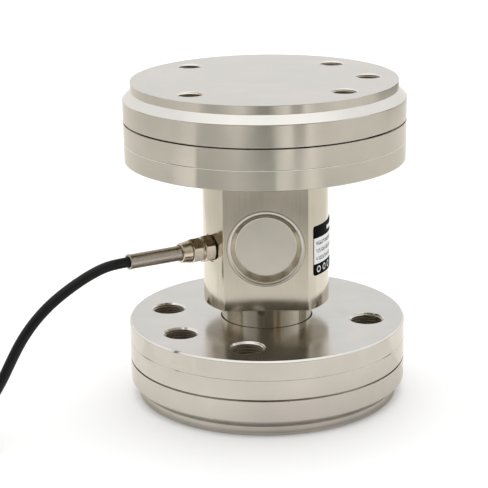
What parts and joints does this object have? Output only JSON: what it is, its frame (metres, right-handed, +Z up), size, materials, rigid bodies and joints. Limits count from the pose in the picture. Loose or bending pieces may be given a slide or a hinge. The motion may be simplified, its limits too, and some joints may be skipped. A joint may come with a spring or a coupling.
{
  "type": "column load cell",
  "caption": "Steel column with gauge pockets between drilled round flanges with load plates, a label, and a side gland with a metal sleeve and a black cable.",
  "frame": {"origin": "on the column's axis, in the standing face of the lower load plate", "axes": "+Z up along the column's axis; -Y toward the flat with the front cover; +X toward the label"},
  "size_m": [0.3159, 0.1865, 0.1727],
  "materials": {
    "column_steel": "satin turned and milled steel",
    "plate_steel": "satin turned steel with a bright chamfer",
    "cover_steel": "pressed steel, softly polished",
    "gland_metal": "nickel plated",
    "seal_rubber": "matt black",
    "cable_jacket": "satin black jacket",
    "label_stock": "printed film in plain fields of black and white",
    "gauge_foil": "amber film",
    "board": "green board",
    "resistor": "lacquered bobbin",
    "inner_lead": "enamelled copper",
    "strap": "black woven strap",
    "red_lead": "red insulation",
    "green_lead": "green insulation",
    "white_lead": "white insulation",
    "black_lead": "black insulation"
  },
  "bodies": {
    "root": {"column": "column_steel", "upper_flange": "column_steel", "lower_flange": "column_steel", "upper_load_plate": "plate_steel", "lower_load_plate": "plate_steel", "front_cover": "cover_steel", "rear_cover": "cover_steel", "cable_sleeve": "cover_steel", "gland_body": "gland_metal", "gland_nut": "gland_metal", "sleeve_ferrule": "gland_metal", "gland_washer": "seal_rubber", "gland_seal": "seal_rubber", "cable": "cable_jacket", "cable_coil": "cable_jacket", "cable_tail": "cable_jacket", "label": "label_stock", "front_axial_gauge": "gauge_foil", "front_cross_gauge": "gauge_foil", "rear_axial_gauge": "gauge_foil", "rear_cross_gauge": "gauge_foil", "front_terminal_board": "board", "rear_terminal_board": "board", "zero_resistor": "resistor", "span_resistor": "resistor", "inner_lead_1": "inner_lead", "inner_lead_2": "inner_lead", "inner_lead_3": "inner_lead", "inner_lead_4": "inner_lead", "link_lead_1": "inner_lead", "link_lead_2": "inner_lead", "coil_strap": "strap", "lead_red": "red_lead", "lead_green": "green_lead", "lead_white": "white_lead", "lead_black": "black_lead"}
  },
  "joints": []
}
